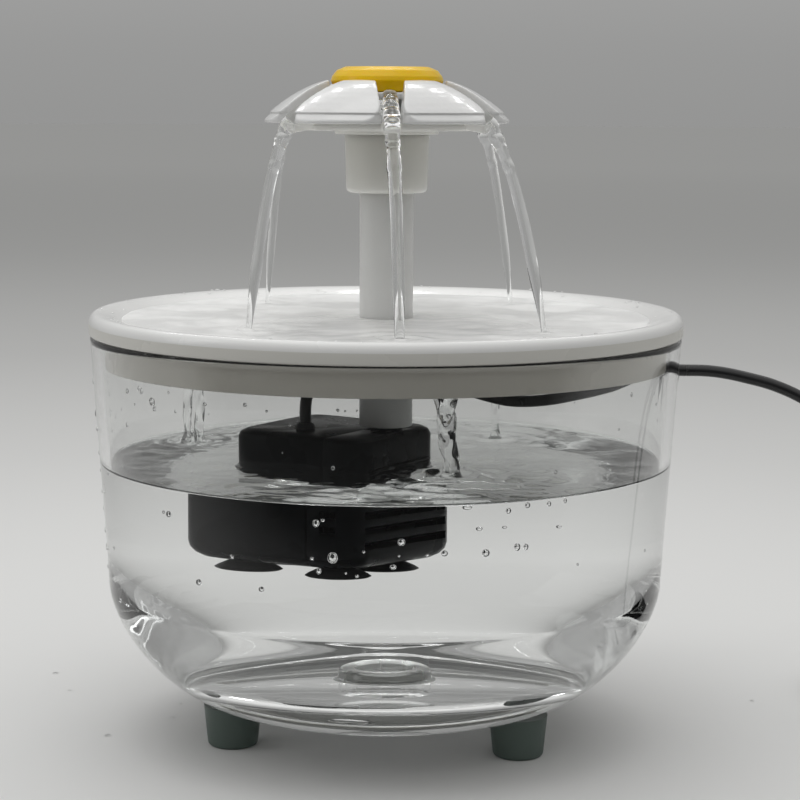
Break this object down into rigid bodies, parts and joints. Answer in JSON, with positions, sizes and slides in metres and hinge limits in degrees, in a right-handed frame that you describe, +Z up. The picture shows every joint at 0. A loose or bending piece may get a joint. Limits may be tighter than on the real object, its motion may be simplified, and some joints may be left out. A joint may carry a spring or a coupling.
{
  "type": "pet water fountain",
  "caption": "Clear round water tank on short feet with a white dish lid; a riser tube carries a petal-shaped flower spout above the dish, fed by a submersible pump with a USB cord.",
  "frame": {"origin": "middle of the three feet's contact plane, on the tank's axis", "axes": "+Z up along the tube, +X towards the cable notch, -Y towards the viewer"},
  "size_m": [0.2883, 0.18, 0.204],
  "materials": {
    "clear_plastic": "clear, polished",
    "foot_grey": "satin",
    "white_plastic": "gloss",
    "milky_plastic": "frosted",
    "basket_plastic": "translucent",
    "foam": "open foam",
    "yellow_plastic": "satin",
    "pump_black": "satin",
    "core_steel": "laminated",
    "coil_copper": "enamelled wire",
    "potting": "cast resin",
    "ceramic": "polished",
    "ferrite": "sintered",
    "soft_rubber": "matte",
    "impeller_grey": "satin",
    "cord_black": "satin",
    "plug_steel": "plated"
  },
  "bodies": {
    "tank": {"tank": "clear_plastic", "front_left_foot": "foot_grey", "front_right_foot": "foot_grey", "rear_foot": "foot_grey", "supply_cord": "cord_black", "cord_coil": "cord_black", "usb_plug_body": "cord_black", "usb_plug_shell": "plug_steel"},
    "lid": {"lid_tray": "white_plastic", "riser_tube": "milky_plastic", "filter_basket": "basket_plastic", "filter_pad": "foam", "pump_lead": "cord_black"},
    "flower": {"tube_adaptor": "milky_plastic", "flower_basin": "milky_plastic", "flower_petals": "white_plastic"},
    "centre": {"flower_centre": "yellow_plastic"},
    "pump": {"pump_housing": "pump_black", "stator_core": "core_steel", "stator_coil": "coil_copper", "motor_potting": "potting", "impeller_shaft": "ceramic", "shaft_bushes": "soft_rubber", "volute": "pump_black", "volute_seal": "soft_rubber", "cable_gland": "soft_rubber", "suction_cups": "soft_rubber"},
    "cover": {"intake_cover": "pump_black"},
    "rotor": {"rotor_magnet": "ferrite", "impeller": "impeller_grey"}
  },
  "joints": [
    {"name": "lid_lift", "type": "slide", "parent": "tank", "child": "lid", "axis": [0, 0, 1], "range_m": [0, 0.09]},
    {"name": "flower_lift", "type": "slide", "parent": "lid", "child": "flower", "axis": [0, 0, 1], "range_m": [0, 0.02]},
    {"name": "centre_lift", "type": "slide", "parent": "flower", "child": "centre", "axis": [0, 0, 1], "range_m": [0, 0.01]},
    {"name": "pump_pull", "type": "slide", "parent": "lid", "child": "pump", "axis": [0, 0, -1], "range_m": [0, 0.016]},
    {"name": "cover_slide", "type": "slide", "parent": "pump", "child": "cover", "axis": [0.8387, -0.5446, 0], "range_m": [0, 0.018]},
    {"name": "impeller_spin", "type": "hinge", "parent": "pump", "child": "rotor", "pos_m": [-0.00289, -0.00445, 0.0744], "axis": [0.8387, -0.5446, 0], "continuous": true}
  ]
}
